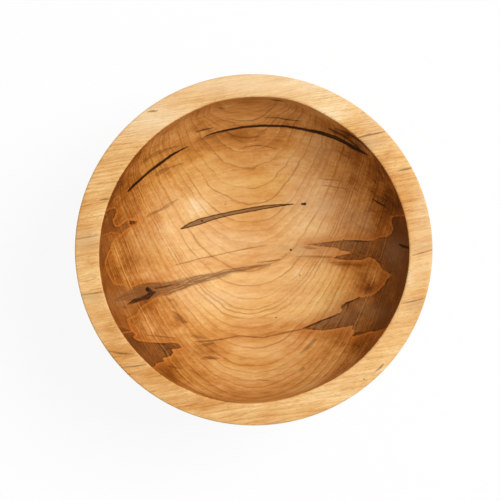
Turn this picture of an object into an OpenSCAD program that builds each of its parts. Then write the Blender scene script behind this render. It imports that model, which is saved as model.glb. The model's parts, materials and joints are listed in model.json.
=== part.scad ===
// Bead spinner: a turned wooden bowl that spins on a ball bearing base and lifts off it.
// Origin: middle of the table plane under the rubber feet, +Z up along the spin axis.

/* [Bowl] */
// Outside diameter of the bowl at its rim
bowl_d = 180; // [150:1:230]
// Depth of the hollow, from the rim to the middle of the floor
bowl_depth = 56; // [48:1:66]
// Thickness of the turned wall, which is the width of the flat rim
wall_t = 11.6; // [8:0.1:15]
// Radius of the sweep where the inside wall turns into the floor
wall_sweep_r = 30; // [22:1:40]
// Height of the upright band of wall under the rim
wall_land_h = 1; // [0:0.5:4]
// Rounding of the two edges of the rim
rim_edge_r = 0.9; // [0.3:0.1:2]
// Thickness of the floor over the foot, at the middle
floor_t = 14; // [13:0.5:20]
// Diameter of the turned foot
foot_d = 78; // [74:1:96]
// Draw of the foot's side, which leaves the foot narrower at its top
foot_undercut = 1.5; // [0:0.1:3]
// Rounding of the foot's lower edge
foot_edge_r = 1.2; // [0.3:0.1:2]

/* [Hub] */
// Diameter of the hub plate under the bowl
hub_d = 56; // [48:1:62]
// Thickness of the hub plate
hub_t = 4; // [3.5:0.1:6]
// Depth that the hub plate is let into the foot
hub_recess = 2; // [1:0.1:3]
// Side gap between the hub plate and its recess
hub_fit = 0.1; // [0.05:0.01:0.3]
// Diameter of the boss that stands on the bearing's inner ring
hub_boss_d = 11.4; // [10.6:0.1:11.8]
// Height of the gap between the hub plate and the bearing housing
hub_gap = 2.5; // [1.5:0.1:5]
// Diameter of the circle of hub screws
hub_screw_circle_d = 40; // [36:0.5:42]
// Number of hub screws
hub_screw_count = 4; // [3:1:6]

/* [Spindle] */
// Radial running clearance between the spindle and the bearing bores
spindle_fit = 0.03; // [0.02:0.01:0.06]
// Diameter of the spindle's head
spindle_head_d = 14; // [12:0.5:18]
// Thickness of the spindle's head
spindle_head_t = 2; // [1.5:0.1:2.5]
// Length of spindle that shows below the lower bearing
spindle_tail = 1.2; // [0.6:0.1:1.5]
// Chamfer on the spindle's lower end
spindle_chamfer = 0.8; // [0.3:0.1:1.2]

/* [Bearings] */
// Bore of each ball bearing
bearing_bore = 8; // [7.8:0.1:8.2]
// Outside diameter of each ball bearing
bearing_od = 22; // [21.6:0.1:24]
// Width of each ball bearing
bearing_w = 7; // [6.6:0.1:8]
// Diameter of the balls
ball_d = 3.97; // [3.6:0.01:4]
// Number of balls in each bearing
ball_count = 7; // [6:1:8]
// How much wider the race grooves are than the balls, as a radius
race_play = 0.05; // [0.03:0.01:0.1]
// Thickness of each dust shield
shield_t = 0.3; // [0.2:0.05:0.4]
// Gap between a shield and the inner ring
shield_gap = 0.25; // [0.15:0.05:0.4]
// Thickness of the ball cage under the balls
cage_floor_t = 0.8; // [0.5:0.1:0.9]
// Gap between the balls and their pockets in the cage
pocket_play = 0.1; // [0.05:0.01:0.15]
// Chamfer on the ring edges
ring_chamfer = 0.3; // [0.1:0.05:0.4]
// Length of the spacers between the two bearings
spacer_h = 6; // [3:0.5:8]
// Wall of the outer spacer
outer_spacer_t = 1.2; // [0.8:0.1:2]

/* [Housing] */
// Wall of the bearing housing around the bearings
housing_wall = 3; // [2:0.1:5]
// Diameter of the housing's flange
housing_flange_d = 50; // [46:0.5:56]
// Thickness of the housing's flange
housing_flange_t = 3; // [2.8:0.1:4]
// Height that the flange stands proud of the base
housing_proud = 1.5; // [0.5:0.1:2]
// Thickness of the lip under the lower bearing
housing_lip_t = 2; // [1.5:0.1:3]
// Inside diameter of that lip
housing_lip_d = 17; // [14:0.5:18]
// Radial gap between the bearings and the housing
bearing_fit = 0.01; // [0.01:0.01:0.05]
// Radial gap between the housing and the base
housing_fit = 0.1; // [0.05:0.01:0.3]
// Depth of the upper bearing's face below the top of the housing
bearing_sink = 3.2; // [2.6:0.1:5]
// Thickness of the retaining ring
retainer_t = 1; // [0.8:0.1:1.2]
// Radial width of the retaining ring
retainer_w = 1.9; // [1.5:0.1:2.2]
// Depth of the retaining ring's groove
retainer_groove = 0.5; // [0.3:0.05:0.8]
// Gap above and below the retaining ring in its groove
retainer_play = 0.05; // [0.02:0.01:0.1]
// Diameter of the circle of housing screws
housing_screw_circle_d = 39; // [38:0.5:41]
// Number of housing screws
housing_screw_count = 3; // [3:1:6]

/* [Base] */
// Diameter of the base at its lower bead
base_d = 118; // [106:1:150]
// Height of the turned base
base_h = 33; // [31:1:50]
// Diameter of the bead at the top of the base
base_top_d = 78; // [70:1:90]
// Radius of the lower bead
lower_bead_r = 5; // [3:0.5:6]
// Radius of the upper bead
upper_bead_r = 3.5; // [2:0.5:4.5]
// Height of the square step over the lower bead
base_step_h = 1.6; // [1:0.1:3]
// Width of the ledge on the lower bead outside that step
base_ledge_w = 4; // [2:0.5:6]
// Hollow of the cove, measured from its chord
cove_sag = 5; // [2:0.5:6]
// Diameter of the chuck recess in the underside
chuck_recess_d = 52; // [44:1:56]
// Depth of the chuck recess
chuck_recess_depth = 2.5; // [1.5:0.1:4]
// Undercut of the chuck recess's wall
chuck_dovetail = 0.8; // [0:0.1:1.5]

/* [Feet] */
// Number of rubber feet, which the node names fix
foot_pad_count = 4; // [4]
// Diameter of the circle that the feet stand on
foot_pad_circle_d = 92; // [84:1:94]
// Largest diameter of a rubber foot
foot_pad_d = 14; // [12:0.5:16]
// Narrowing of a foot towards the table
foot_pad_taper = 2; // [0:0.1:3]
// Height of a rubber foot
foot_pad_h = 5; // [4.5:0.1:7]
// Depth that a foot is let into the base
foot_pad_recess = 1; // [0.5:0.1:2]
// Radial gap around a foot in its recess
foot_pad_fit = 0.1; // [0.05:0.01:0.2]
// Height of the screw head's seat over the table
foot_screw_seat_h = 2.6; // [2:0.1:3]

/* [Screws] */
// Shank diameter of the hub screws
hub_screw_d = 4; // [3:0.1:4.5]
// Length of the hub screws
hub_screw_l = 11; // [8:0.5:12]
// Shank diameter of the housing screws
housing_screw_d = 3.5; // [3:0.1:4]
// Length of the housing screws
housing_screw_l = 16; // [10:0.5:20]
// Shank diameter of the foot screws
foot_screw_d = 3; // [2.5:0.1:3.5]
// Length of the foot screws
foot_screw_l = 10; // [8:0.5:12]
// Radial gap around a screw in its hole
screw_fit = 0.05; // [0.02:0.01:0.1]

/* [Hidden] */

$fn = 96;
over = 1; // how far a cutter reaches past the face that it opens
screw_end_gap = 0.5; // room past the point of a screw in wood

// Heights, from the table up
base_z = foot_pad_h - foot_pad_recess;
base_top_z = base_z + base_h;
housing_top_z = base_top_z + housing_proud;
stack_top_z = housing_top_z - bearing_sink;
upper_bearing_z = stack_top_z - bearing_w;
spacer_z = upper_bearing_z - spacer_h;
lower_bearing_z = spacer_z - bearing_w;
housing_bottom_z = lower_bearing_z - housing_lip_t;
spindle_end_z = lower_bearing_z - spindle_tail;
hub_z = housing_top_z + hub_gap;
hub_top_z = hub_z + hub_t;
foot_z = hub_top_z - hub_recess;
floor_z = foot_z + floor_t;
rim_z = floor_z + bowl_depth;

// Bowl: the inside is a floor arc that runs smoothly into a wall arc, and the outside is
// the same pair of arcs set out by the wall
rim_inner_r = bowl_d / 2 - wall_t;
wall_arc_z = rim_z - wall_land_h;
wall_arc_x = rim_inner_r - wall_sweep_r;
wall_arc_h = bowl_depth - wall_land_h;
floor_arc_r = (pow(wall_arc_x, 2) + pow(wall_arc_h, 2) - pow(wall_sweep_r, 2))
    / (2 * (wall_arc_h - wall_sweep_r));
floor_arc_z = floor_z + floor_arc_r;
arc_join_angle = atan2(wall_arc_x, floor_arc_z - wall_arc_z);

// Bearing, worked out from its bore, its outside and its balls
pitch_r = (bearing_bore + bearing_od) / 4;
ball_r = ball_d / 2;
race_r = ball_r + race_play;
inner_land_r = pitch_r - 0.37 * ball_d;
outer_land_r = pitch_r + 0.43 * ball_d;
shield_outer_r = outer_land_r + 0.5;
shield_seat_depth = shield_t + 0.15;
cage_half_w = 0.23 * ball_d;
cage_prong_h = 0.25 * ball_d;
bearing_outer_r = bearing_od / 2 - bearing_fit;

spindle_r = bearing_bore / 2 - spindle_fit;
housing_bore_r = bearing_od / 2;
housing_r = housing_bore_r + housing_wall;
retainer_z = stack_top_z + retainer_play;
retainer_outer_r = housing_bore_r + retainer_groove - retainer_play;
retainer_lug_r = 1.6;
retainer_lug_in = 0.2; // how far a lug's middle lies outside the ring's inner edge
retainer_hole_r = 0.7;
retainer_gap_angle = 26;
retainer_lug_angle = retainer_gap_angle / 2 + 10;

// Screw heads follow from their shanks
hub_head_d = 2 * hub_screw_d;
hub_head_h = 0.55 * hub_screw_d;
housing_head_d = 1.9 * housing_screw_d;
housing_head_h = 0.5 * housing_screw_d;
foot_head_d = 2 * foot_screw_d;
foot_head_h = 0.6 * foot_screw_d;

maple = [0.85, 0.63, 0.38];
dark_maple = [0.78, 0.55, 0.32];
aluminium = [0.78, 0.79, 0.80];
steel = [0.62, 0.63, 0.65];
bright_steel = [0.75, 0.76, 0.78];
nylon = [0.86, 0.84, 0.76];
black_rubber = [0.09, 0.09, 0.09];

// Copies its children round the spin axis
module round_axis(count, radius, turn = 0) {
    for (i = [0:count - 1]) {
        rotate([0, 0, turn + i * 360 / count]) {
            translate([radius, 0, 0]) children();
        }
    }
}

// A flat ring with its lower face at z = 0
module ring(outer_r, inner_r, height) {
    difference() {
        cylinder(r = outer_r, h = height);
        translate([0, 0, -over]) cylinder(r = inner_r, h = height + 2 * over);
    }
}

// Half section of the two arcs that shape the bowl, grown by a wall thickness
module bowl_arcs(grow, top) {
    reach = 2 * (floor_arc_r + grow);
    intersection() {
        translate([0, floor_arc_z]) circle(r = floor_arc_r + grow);
        polygon([
            [0, floor_arc_z],
            [reach * sin(arc_join_angle), floor_arc_z - reach * cos(arc_join_angle)],
            [0, floor_arc_z - reach]
        ]);
        translate([0, floor_z - 2 * grow - over]) square([bowl_d, top - floor_z + 2 * grow + over]);
    }
    intersection() {
        translate([wall_arc_x, wall_arc_z]) circle(r = wall_sweep_r + grow);
        translate([0, floor_z - 2 * grow - over]) square([bowl_d, top - floor_z + 2 * grow + over]);
    }
    translate([0, wall_arc_z]) square([rim_inner_r + grow, top - wall_arc_z]);
}

// Half section of the foot, drawn in towards its top, with a rounded lower edge
module foot_section() {
    foot_r = foot_d / 2;
    top_z = floor_z - wall_t + over;
    join_z = floor_arc_z - sqrt(pow(floor_arc_r + wall_t, 2) - pow(foot_r, 2));
    polygon([
        [0, foot_z],
        [foot_r - foot_edge_r, foot_z],
        [foot_r - foot_edge_r, foot_z + foot_edge_r],
        [foot_r, foot_z + foot_edge_r],
        [foot_r - foot_undercut, join_z + over],
        [0, max(join_z, top_z) + over]
    ]);
    translate([foot_r - foot_edge_r, foot_z + foot_edge_r]) circle(r = foot_edge_r);
}

// Takes a square corner off the rim and leaves a quarter round; side is 1 outside, -1 inside
module rim_edge(edge_x, side) {
    difference() {
        translate([edge_x - (side > 0 ? rim_edge_r : over), rim_z - rim_edge_r]) {
            square([rim_edge_r + over, rim_edge_r + over]);
        }
        translate([edge_x - side * rim_edge_r, rim_z - rim_edge_r]) circle(r = rim_edge_r);
    }
}

module bowl() {
    color(maple) difference() {
        rotate_extrude() difference() {
            union() {
                bowl_arcs(wall_t, rim_z);
                foot_section();
            }
            bowl_arcs(0, rim_z + over);
            rim_edge(bowl_d / 2, 1);
            rim_edge(rim_inner_r, -1);
        }
        translate([0, 0, foot_z - over]) cylinder(r = hub_d / 2 + hub_fit, h = hub_recess + over);
        round_axis(hub_screw_count, hub_screw_circle_d / 2, 45) {
            translate([0, 0, hub_z]) {
                cylinder(r = hub_screw_d / 2 + screw_fit, h = hub_screw_l + screw_end_gap);
            }
        }
    }
}

// A screw with its head's outer face at z = 0 and its point towards +Z
module countersunk_screw(shank_d, length, head_d, head_h) {
    point_h = shank_d;
    difference() {
        union() {
            cylinder(r1 = head_d / 2, r2 = shank_d / 2, h = head_h);
            cylinder(r = shank_d / 2, h = length - point_h);
            translate([0, 0, length - point_h]) cylinder(r1 = shank_d / 2, r2 = 0.2, h = point_h);
        }
        cross_recess(head_d, head_h);
    }
}

module pan_screw(shank_d, length, head_d, head_h) {
    point_h = shank_d;
    edge = 0.3 * head_h;
    difference() {
        union() {
            cylinder(r1 = head_d / 2 - edge, r2 = head_d / 2, h = edge);
            translate([0, 0, edge]) cylinder(r = head_d / 2, h = head_h - edge);
            cylinder(r = shank_d / 2, h = head_h + length - point_h);
            translate([0, 0, head_h + length - point_h]) {
                cylinder(r1 = shank_d / 2, r2 = 0.2, h = point_h);
            }
        }
        cross_recess(head_d, head_h);
    }
}

module cross_recess(head_d, head_h) {
    slot_l = 0.55 * head_d;
    slot_w = 0.12 * head_d;
    depth = 0.6 * head_h;
    for (turn = [0, 90]) {
        rotate([0, 0, turn]) {
            translate([-slot_l / 2, -slot_w / 2, -over]) cube([slot_l, slot_w, depth + over]);
        }
    }
}

// The hole that a countersunk screw sits in, with its mouth at z = 0
module countersunk_hole(shank_d, length, head_d, head_h) {
    translate([0, 0, -over]) cylinder(r = shank_d / 2 + screw_fit, h = length + over);
    cylinder(r1 = head_d / 2 + screw_fit, r2 = shank_d / 2 + screw_fit, h = head_h);
    translate([0, 0, -over]) cylinder(r = head_d / 2 + screw_fit, h = over);
}

module hub_plate() {
    edge = 0.5;
    boss_h = hub_z - stack_top_z;
    color(aluminium) difference() {
        union() {
            translate([0, 0, hub_z]) cylinder(r1 = hub_d / 2 - edge, r2 = hub_d / 2, h = edge);
            translate([0, 0, hub_z + edge]) cylinder(r = hub_d / 2, h = hub_t - edge);
            translate([0, 0, stack_top_z]) cylinder(r = hub_boss_d / 2, h = boss_h + edge);
        }
        translate([0, 0, stack_top_z - over]) cylinder(r = spindle_r, h = hub_t + boss_h + 2 * over);
        translate([0, 0, hub_top_z - spindle_head_t]) {
            cylinder(r = spindle_head_d / 2 + hub_fit, h = spindle_head_t + over);
        }
        round_axis(hub_screw_count, hub_screw_circle_d / 2, 45) {
            translate([0, 0, hub_z]) {
                countersunk_hole(hub_screw_d, hub_t + over, hub_head_d, hub_head_h);
            }
        }
    }
}

module hub_screws() {
    color(bright_steel) round_axis(hub_screw_count, hub_screw_circle_d / 2, 45) {
        translate([0, 0, hub_z]) {
            countersunk_screw(hub_screw_d, hub_screw_l, hub_head_d, hub_head_h);
        }
    }
}

module spindle() {
    color(steel) union() {
        translate([0, 0, hub_top_z - spindle_head_t]) {
            cylinder(r = spindle_head_d / 2, h = spindle_head_t);
        }
        translate([0, 0, spindle_end_z + spindle_chamfer]) {
            cylinder(r = spindle_r, h = hub_top_z - spindle_end_z - spindle_chamfer);
        }
        translate([0, 0, spindle_end_z]) {
            cylinder(r1 = spindle_r - spindle_chamfer, r2 = spindle_r, h = spindle_chamfer);
        }
    }
}

// Each bearing piece is drawn with the bearing's lower face at z = 0
module race_groove() {
    translate([pitch_r, bearing_w / 2]) circle(r = race_r);
}

module inner_ring() {
    bore_r = bearing_bore / 2;
    color(bright_steel) rotate_extrude() difference() {
        polygon([
            [bore_r + ring_chamfer, 0],
            [inner_land_r, 0],
            [inner_land_r, bearing_w],
            [bore_r + ring_chamfer, bearing_w],
            [bore_r, bearing_w - ring_chamfer],
            [bore_r, ring_chamfer]
        ]);
        race_groove();
    }
}

module outer_ring() {
    seat_r = shield_outer_r + bearing_fit;
    color(bright_steel) rotate_extrude() difference() {
        polygon([
            [outer_land_r, shield_seat_depth],
            [seat_r, shield_seat_depth],
            [seat_r, 0],
            [bearing_outer_r - ring_chamfer, 0],
            [bearing_outer_r, ring_chamfer],
            [bearing_outer_r, bearing_w - ring_chamfer],
            [bearing_outer_r - ring_chamfer, bearing_w],
            [seat_r, bearing_w],
            [seat_r, bearing_w - shield_seat_depth],
            [outer_land_r, bearing_w - shield_seat_depth]
        ]);
        race_groove();
    }
}

module balls() {
    color(bright_steel) round_axis(ball_count, pitch_r) {
        translate([0, 0, bearing_w / 2]) sphere(r = ball_r);
    }
}

// Crown cage: a ring under the balls with a prong on each side of every ball
module cage() {
    pocket_r = ball_r + pocket_play;
    floor_drop = pocket_r + cage_floor_t - 0.25;
    color(nylon) difference() {
        translate([0, 0, bearing_w / 2 - floor_drop]) {
            ring(pitch_r + cage_half_w, pitch_r - cage_half_w, floor_drop + cage_prong_h);
        }
        round_axis(ball_count, pitch_r) {
            translate([0, 0, bearing_w / 2]) sphere(r = pocket_r);
        }
    }
}

// A pressed shield that lies in the outer ring's seat, with its inner lip bent inwards
module shield() {
    lip_r = inner_land_r + shield_gap;
    bend_r = lip_r + 0.9;
    bend_h = 0.12;
    color(steel) rotate_extrude() polygon([
        [lip_r, -bend_h],
        [bend_r, -bend_h],
        [bend_r + bend_h, 0],
        [shield_outer_r, 0],
        [shield_outer_r, shield_t],
        [bend_r + bend_h / 2, shield_t],
        [bend_r - bend_h / 2, shield_t - bend_h],
        [lip_r, shield_t - bend_h]
    ]);
}

module top_shield() {
    translate([0, 0, bearing_w - shield_seat_depth]) shield();
}

module bottom_shield() {
    translate([0, 0, shield_seat_depth]) mirror([0, 0, 1]) shield();
}

module outer_spacer() {
    color(aluminium) translate([0, 0, spacer_z]) {
        ring(bearing_outer_r, bearing_outer_r - outer_spacer_t, spacer_h);
    }
}

module inner_spacer() {
    color(aluminium) translate([0, 0, spacer_z]) ring(inner_land_r - 0.2, bearing_bore / 2, spacer_h);
}

module retaining_ring() {
    inner_r = retainer_outer_r - retainer_w;
    lug_x = inner_r + retainer_lug_in;
    color(steel) translate([0, 0, retainer_z]) linear_extrude(height = retainer_t) difference() {
        union() {
            difference() {
                circle(r = retainer_outer_r);
                circle(r = inner_r);
                polygon([
                    [0, 0],
                    [bearing_od * cos(retainer_gap_angle / 2), bearing_od * sin(retainer_gap_angle / 2)],
                    [bearing_od * cos(retainer_gap_angle / 2), -bearing_od * sin(retainer_gap_angle / 2)]
                ]);
            }
            for (side = [-1, 1]) {
                rotate([0, 0, side * retainer_lug_angle]) {
                    translate([lug_x, 0]) circle(r = retainer_lug_r);
                }
            }
        }
        for (side = [-1, 1]) {
            rotate([0, 0, side * retainer_lug_angle]) {
                translate([lug_x, 0]) circle(r = retainer_hole_r);
            }
        }
    }
}

module bearing_housing() {
    flange_r = housing_flange_d / 2;
    flange_z = housing_top_z - housing_flange_t;
    edge = 0.5;
    color(aluminium) difference() {
        union() {
            translate([0, 0, housing_bottom_z]) {
                cylinder(r = housing_r, h = housing_top_z - housing_bottom_z - edge);
            }
            translate([0, 0, flange_z]) cylinder(r = flange_r, h = housing_flange_t - edge);
            translate([0, 0, housing_top_z - edge]) cylinder(r1 = flange_r, r2 = flange_r - edge, h = edge);
        }
        translate([0, 0, lower_bearing_z]) {
            cylinder(r = housing_bore_r, h = housing_top_z - lower_bearing_z + over);
        }
        translate([0, 0, housing_bottom_z - over]) {
            cylinder(r = housing_lip_d / 2, h = housing_lip_t + 2 * over);
        }
        translate([0, 0, stack_top_z]) {
            cylinder(r = housing_bore_r + retainer_groove, h = retainer_t + 2 * retainer_play);
        }
        round_axis(housing_screw_count, housing_screw_circle_d / 2, 90) {
            translate([0, 0, housing_top_z]) mirror([0, 0, 1]) {
                countersunk_hole(housing_screw_d, housing_flange_t + over, housing_head_d, housing_head_h);
            }
        }
    }
}

module housing_screws() {
    color(bright_steel) round_axis(housing_screw_count, housing_screw_circle_d / 2, 90) {
        translate([0, 0, housing_top_z]) mirror([0, 0, 1]) {
            countersunk_screw(housing_screw_d, housing_screw_l, housing_head_d, housing_head_h);
        }
    }
}

// Half section of the base: a lower bead, a square step, a cove and an upper bead
module base_section() {
    bead_x = base_d / 2 - lower_bead_r;
    step_x = base_d / 2 - base_ledge_w - lower_bead_r;
    step_z = base_z + 2 * lower_bead_r + base_step_h;
    neck_x = base_top_d / 2 - upper_bead_r;
    neck_z = base_top_z - 2 * upper_bead_r;
    chord = norm([step_x - neck_x, neck_z - step_z]);
    cove_r = (pow(chord / 2, 2) + pow(cove_sag, 2)) / (2 * cove_sag);
    cove_out = cove_r - cove_sag;
    cove_x = (step_x + neck_x) / 2 + cove_out * (neck_z - step_z) / chord;
    cove_z = (step_z + neck_z) / 2 + cove_out * (step_x - neck_x) / chord;
    translate([0, base_z]) square([bead_x, 2 * lower_bead_r]);
    translate([bead_x, base_z + lower_bead_r]) circle(r = lower_bead_r);
    translate([0, base_z + lower_bead_r]) square([step_x, lower_bead_r + base_step_h]);
    difference() {
        polygon([[0, step_z], [step_x, step_z], [neck_x, neck_z], [0, neck_z]]);
        translate([cove_x, cove_z]) circle(r = cove_r);
    }
    translate([0, neck_z]) square([neck_x, 2 * upper_bead_r]);
    translate([neck_x, neck_z + upper_bead_r]) circle(r = upper_bead_r);
}

module base() {
    flange_seat_z = housing_top_z - housing_flange_t;
    color(dark_maple) difference() {
        rotate_extrude() base_section();
        translate([0, 0, housing_bottom_z]) cylinder(r = housing_r + housing_fit, h = base_h);
        translate([0, 0, flange_seat_z]) {
            cylinder(r = housing_flange_d / 2 + housing_fit, h = housing_flange_t + over);
        }
        round_axis(housing_screw_count, housing_screw_circle_d / 2, 90) {
            translate([0, 0, housing_top_z - housing_screw_l - screw_end_gap]) {
                cylinder(r = housing_screw_d / 2 + screw_fit, h = housing_screw_l);
            }
        }
        translate([0, 0, base_z - over]) {
            cylinder(r = chuck_recess_d / 2 - chuck_dovetail, h = chuck_recess_depth + over);
        }
        translate([0, 0, base_z]) {
            cylinder(
                r1 = chuck_recess_d / 2 - chuck_dovetail, r2 = chuck_recess_d / 2, h = chuck_recess_depth
            );
        }
        round_axis(foot_pad_count, foot_pad_circle_d / 2, 45) {
            translate([0, 0, base_z - over]) {
                cylinder(r = foot_pad_d / 2 + foot_pad_fit, h = foot_pad_recess + over);
            }
            translate([0, 0, base_z]) {
                cylinder(
                    r = foot_screw_d / 2 + screw_fit,
                    h = foot_screw_seat_h + foot_screw_l + screw_end_gap - base_z
                );
            }
        }
    }
}

// A tapered rubber foot with a sunk seat for its screw
module rubber_foot(index) {
    edge = 0.5;
    low_r = (foot_pad_d - foot_pad_taper) / 2;
    color(black_rubber) rotate([0, 0, 45 + (index - 1) * 360 / foot_pad_count]) {
        translate([foot_pad_circle_d / 2, 0, 0]) difference() {
            union() {
                cylinder(r1 = low_r - edge, r2 = low_r, h = edge);
                translate([0, 0, edge]) {
                    cylinder(r1 = low_r, r2 = foot_pad_d / 2, h = foot_pad_h - foot_pad_recess - edge);
                }
                translate([0, 0, foot_pad_h - foot_pad_recess]) {
                    cylinder(r = foot_pad_d / 2, h = foot_pad_recess);
                }
            }
            translate([0, 0, -over]) {
                cylinder(r = foot_head_d / 2 + 0.3, h = foot_screw_seat_h + over);
            }
            cylinder(r = foot_screw_d / 2 + screw_fit, h = foot_pad_h + over);
        }
    }
}

module foot_screws() {
    color(bright_steel) round_axis(foot_pad_count, foot_pad_circle_d / 2, 45) {
        translate([0, 0, foot_screw_seat_h - foot_head_h]) {
            pan_screw(foot_screw_d, foot_screw_l, foot_head_d, foot_head_h);
        }
    }
}

bowl();
hub_plate();
hub_screws();
spindle();
translate([0, 0, upper_bearing_z]) outer_ring();  // upper_outer_ring
translate([0, 0, upper_bearing_z]) inner_ring();  // upper_inner_ring
translate([0, 0, upper_bearing_z]) balls();  // upper_balls
translate([0, 0, upper_bearing_z]) cage();  // upper_cage
translate([0, 0, upper_bearing_z]) top_shield();  // upper_top_shield
translate([0, 0, upper_bearing_z]) bottom_shield();  // upper_bottom_shield
outer_spacer();
inner_spacer();
translate([0, 0, lower_bearing_z]) outer_ring();  // lower_outer_ring
translate([0, 0, lower_bearing_z]) inner_ring();  // lower_inner_ring
translate([0, 0, lower_bearing_z]) balls();  // lower_balls
translate([0, 0, lower_bearing_z]) cage();  // lower_cage
translate([0, 0, lower_bearing_z]) top_shield();  // lower_top_shield
translate([0, 0, lower_bearing_z]) bottom_shield();  // lower_bottom_shield
retaining_ring();
bearing_housing();
housing_screws();
base();
rubber_foot(1);  // rubber_foot_1
rubber_foot(2);  // rubber_foot_2
rubber_foot(3);  // rubber_foot_3
rubber_foot(4);  // rubber_foot_4
foot_screws();
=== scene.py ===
import json
import math

import bmesh
import bpy
import numpy as np
from mathutils import Matrix, Vector


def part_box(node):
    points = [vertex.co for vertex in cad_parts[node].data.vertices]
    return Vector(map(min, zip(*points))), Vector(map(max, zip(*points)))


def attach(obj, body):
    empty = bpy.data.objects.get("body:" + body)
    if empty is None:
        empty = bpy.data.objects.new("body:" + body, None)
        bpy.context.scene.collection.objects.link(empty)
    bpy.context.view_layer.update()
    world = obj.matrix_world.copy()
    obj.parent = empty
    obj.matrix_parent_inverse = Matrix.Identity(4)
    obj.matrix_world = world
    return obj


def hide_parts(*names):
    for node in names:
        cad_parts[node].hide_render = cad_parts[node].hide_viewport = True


# A turned maple bowl that spins on ball bearings in a low base. Metres, spin axis on Z, grain along X.
mm = 0.001

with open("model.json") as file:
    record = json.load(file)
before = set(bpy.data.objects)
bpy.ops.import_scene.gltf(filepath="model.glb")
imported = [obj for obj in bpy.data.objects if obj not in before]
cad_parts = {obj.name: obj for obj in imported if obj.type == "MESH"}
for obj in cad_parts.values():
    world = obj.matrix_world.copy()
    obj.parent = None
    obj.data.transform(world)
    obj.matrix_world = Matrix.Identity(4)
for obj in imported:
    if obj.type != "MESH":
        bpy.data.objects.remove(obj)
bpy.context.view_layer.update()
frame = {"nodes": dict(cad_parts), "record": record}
print("frame loaded, pieces:", len(frame["nodes"]))


# Puts a new object with this data in the scene
def placed(name, data):
    made = bpy.data.objects.new(name, data)
    bpy.context.scene.collection.objects.link(made)
    return made


# Camera, straight above the bowl as in the photograph

photo = {
    "size": 500,
    "sensor": 36,              # mm
    "rimPixel": 0.5073 * mm,   # one pixel at the height of the rim
    "aboveRim": 900 * mm,
    "axis": (253.7, 249.8),    # pixel where the spin axis meets the plane of the rim
}
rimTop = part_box("bowl")[1].z
middlePixel = photo["size"] / 2
eye = Vector((
    (middlePixel - photo["axis"][0]) * photo["rimPixel"],
    (photo["axis"][1] - middlePixel) * photo["rimPixel"],
    rimTop + photo["aboveRim"],
))


def placeCamera():
    data = bpy.data.cameras.new("overhead")
    data.sensor_width = photo["sensor"]
    data.lens = photo["sensor"] * photo["aboveRim"] / (photo["size"] * photo["rimPixel"])
    data.clip_start, data.clip_end = 0.01, 30
    overhead = placed("overhead", data)
    overhead.location = eye
    bpy.context.scene.camera = overhead


# Where the camera sees each point, in the photograph's pixels
def toPixels(points):
    deep = (eye.z - points[:, 2]) / photo["aboveRim"] * photo["rimPixel"]
    return np.stack((
        middlePixel + (points[:, 0] - eye.x) / deep,
        middlePixel - (points[:, 1] - eye.y) / deep,
    ), axis=1)


placeCamera()


# Node helpers

# What a node gives out. It is added, multiplied and so on like a number, which makes the Math nodes.
class Signal:
    def __init__(self, socket):
        self.socket = socket
        self.tree = socket.id_data

    __add__ = lambda self, other: calc("ADD", self, other)
    __sub__ = lambda self, other: calc("SUBTRACT", self, other)
    __mul__ = lambda self, other: calc("MULTIPLY", self, other)
    __truediv__ = lambda self, other: calc("DIVIDE", self, other)
    __pow__ = lambda self, other: calc("POWER", self, other)
    __abs__ = lambda self: calc("ABSOLUTE", self)


def newMaterial(name, kind="BsdfPrincipled"):
    mat = bpy.data.materials.new(name)
    mat.use_nodes = True
    tree = mat.node_tree
    tree.nodes.clear()
    out = tree.nodes.new("ShaderNodeOutputMaterial")
    shader = tree.nodes.new("ShaderNode" + kind)
    tree.links.new(shader.outputs[0], out.inputs["Surface"])
    return mat, tree, shader


def colour(red, green, blue):
    return tuple((c / 255) ** 2.2 for c in (red, green, blue))


def plug(value, socket):
    if isinstance(value, Signal):
        value.tree.links.new(value.socket, socket)
    elif isinstance(value, tuple) and socket.type == "RGBA":
        socket.default_value = (*value, 1)
    else:
        socket.default_value = value


def newNode(tree, kind, *values):
    n = tree.nodes.new("ShaderNode" + kind)
    for value, socket in zip(values, n.inputs):
        plug(value, socket)
    return n


def calc(operation, *values, clamp=False):
    tree = next(value.tree for value in values if isinstance(value, Signal))
    n = newNode(tree, "Math", *values)
    n.operation = operation
    n.use_clamp = clamp
    return Signal(n.outputs[0])


# base + value * share, in one node
def addTo(base, value, share):
    return calc("MULTIPLY_ADD", value, share, base)


def fade(value, low, high, outLow=0, outHigh=1, kind="SMOOTHSTEP"):
    n = newNode(value.tree, "MapRange", value, low, high, outLow, outHigh)
    n.interpolation_type = kind
    return Signal(n.outputs[0])


def fall(value, low, high):
    return fade(value, low, high, 1, 0)


def ramp(value, low, high, outLow=0, outHigh=1):
    return fade(value, low, high, outLow, outHigh, "LINEAR")


# From -amount to amount
def swing(value, amount, low=0.3, high=0.7):
    return ramp(value, low, high, -amount, amount)


def join(x, y, z):
    return Signal(newNode(y.tree, "CombineXYZ", x, y, z).outputs[0])


def split(vector):
    return [Signal(part) for part in newNode(vector.tree, "SeparateXYZ", vector).outputs]


def mapped(source, turn=0, scale=(1, 1, 1), shift=(0, 0, 0)):
    n = newNode(source.tree, "Mapping", source, shift, (0, 0, math.radians(turn)), scale)
    return Signal(n.outputs[0])


# The object's own coordinates, turned in degrees, in mm
def millimetres(tree, turn=0, shift=(0, 0, 0)):
    place = tree.nodes.new("ShaderNodeTexCoord").outputs["Object"]
    return mapped(Signal(place), turn, (1000, 1000, 1000), shift)


def setNoise(n, scale, detail, rough):
    for name, value in (("Scale", scale), ("Detail", detail), ("Roughness", rough)):
        n.inputs[name].default_value = value
    return Signal(n.outputs[0])


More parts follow.
